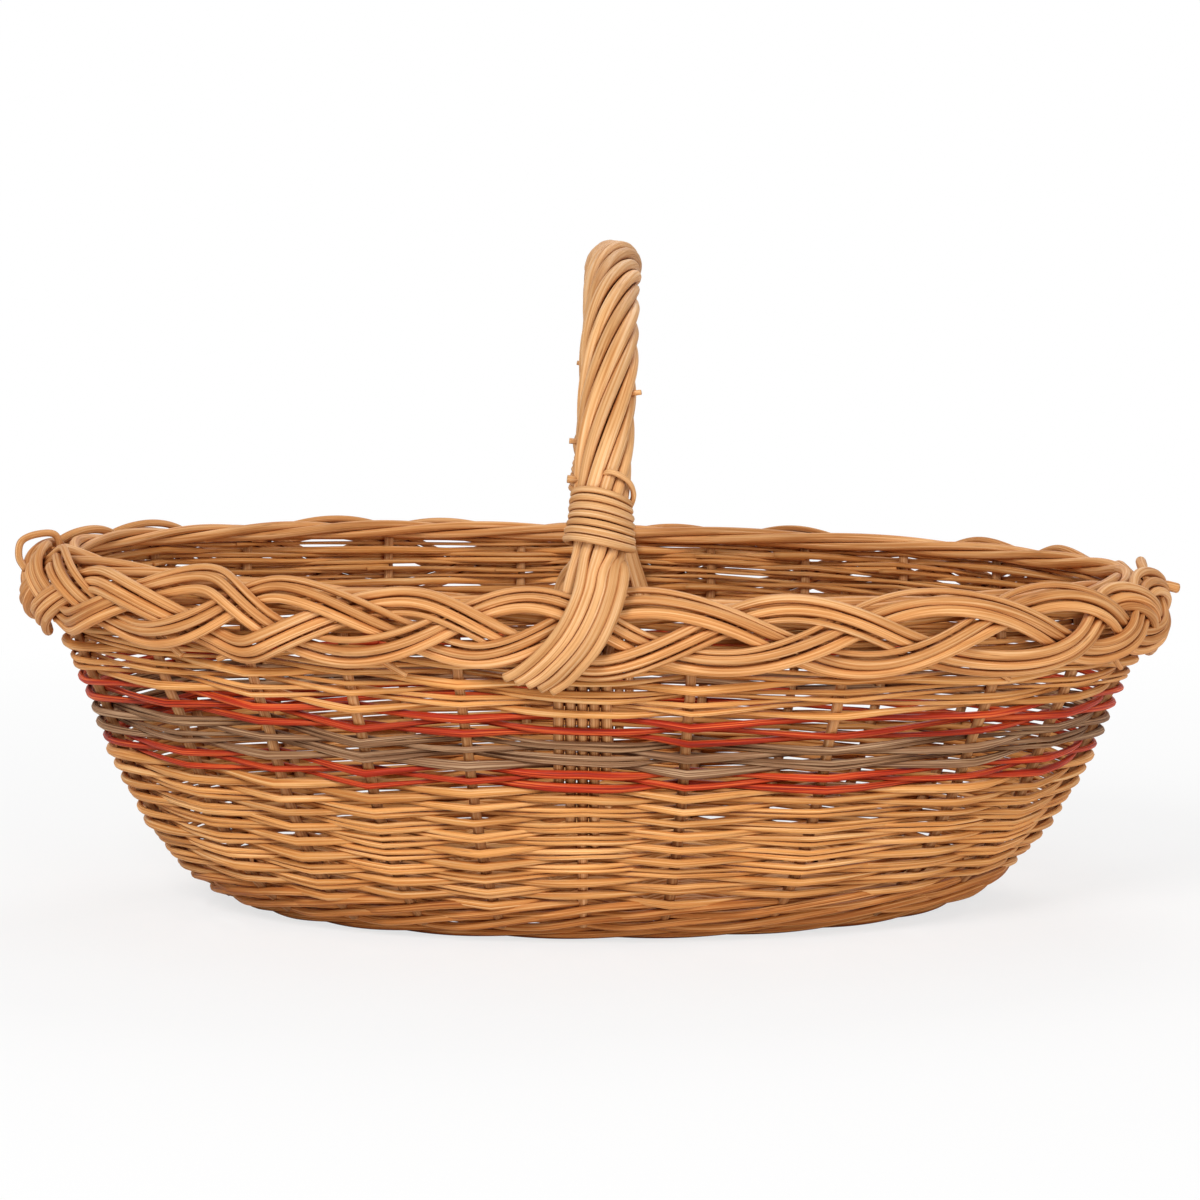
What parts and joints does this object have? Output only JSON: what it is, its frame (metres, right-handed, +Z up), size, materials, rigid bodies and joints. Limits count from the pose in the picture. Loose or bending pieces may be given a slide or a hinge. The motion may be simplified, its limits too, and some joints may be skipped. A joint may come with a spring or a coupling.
{
  "type": "foraging basket",
  "caption": "Oval woven willow foraging basket with flared sides, red and grey bands, a plaited border and a fixed roped handle across the middle.",
  "frame": {"origin": "on the floor below the middle of the basket", "axes": "+X along the basket's length, Y across it in the plane of the handle arch, +Z up"},
  "size_m": [0.5675, 0.3924, 0.3243],
  "materials": {
    "buff_willow": "peeled buff willow, satin, natural",
    "dark_willow": "older buff willow, satin, darker tan",
    "red_willow": "dyed red willow, satin",
    "grey_willow": "unpeeled grey-brown willow bark, dull",
    "pale_willow": "peeled white willow, satin, pale tan"
  },
  "bodies": {
    "root": {"foot_hoop": "buff_willow", "base_weave": "dark_willow", "long_base_stick_1": "buff_willow", "long_base_stick_2": "buff_willow", "long_base_stick_3": "buff_willow", "cross_base_stick_1": "buff_willow", "cross_base_stick_2": "buff_willow", "cross_base_stick_3": "buff_willow", "cross_base_stick_4": "buff_willow", "cross_base_stick_5": "buff_willow", "upsett_wale": "dark_willow", "lower_siding_1": "buff_willow", "lower_siding_2": "buff_willow", "lower_siding_3": "buff_willow", "lower_red_band": "red_willow", "grey_band": "grey_willow", "upper_red_band": "red_willow", "upper_siding": "buff_willow", "rim_siding": "buff_willow", "side_stake_01": "dark_willow", "side_stake_02": "dark_willow", "side_stake_03": "dark_willow", "side_stake_04": "dark_willow", "side_stake_05": "dark_willow", "side_stake_06": "dark_willow", "side_stake_07": "dark_willow", "side_stake_08": "dark_willow", "side_stake_09": "dark_willow", "side_stake_10": "dark_willow", "side_stake_11": "dark_willow", "side_stake_12": "dark_willow", "side_stake_13": "dark_willow", "side_stake_14": "dark_willow", "side_stake_15": "dark_willow", "side_stake_16": "dark_willow", "side_stake_17": "dark_willow", "side_stake_18": "dark_willow", "side_stake_19": "dark_willow", "side_stake_20": "dark_willow", "border_strand_1": "buff_willow", "border_strand_2": "buff_willow", "border_strand_3": "buff_willow", "inner_rim_rod": "buff_willow", "handle_core_rod_1": "dark_willow", "handle_core_rod_2": "dark_willow", "handle_core_rod_3": "dark_willow", "handle_core_rod_4": "dark_willow", "handle_core_rod_5": "dark_willow", "handle_roping_rod_01": "pale_willow", "handle_roping_rod_02": "pale_willow", "handle_roping_rod_03": "pale_willow", "handle_roping_rod_04": "pale_willow", "handle_roping_rod_05": "pale_willow", "handle_roping_rod_06": "pale_willow", "handle_roping_rod_07": "pale_willow", "handle_roping_rod_08": "pale_willow", "handle_roping_rod_09": "pale_willow", "handle_roping_rod_10": "pale_willow", "handle_binding_front": "pale_willow", "handle_binding_back": "pale_willow"}
  },
  "joints": []
}
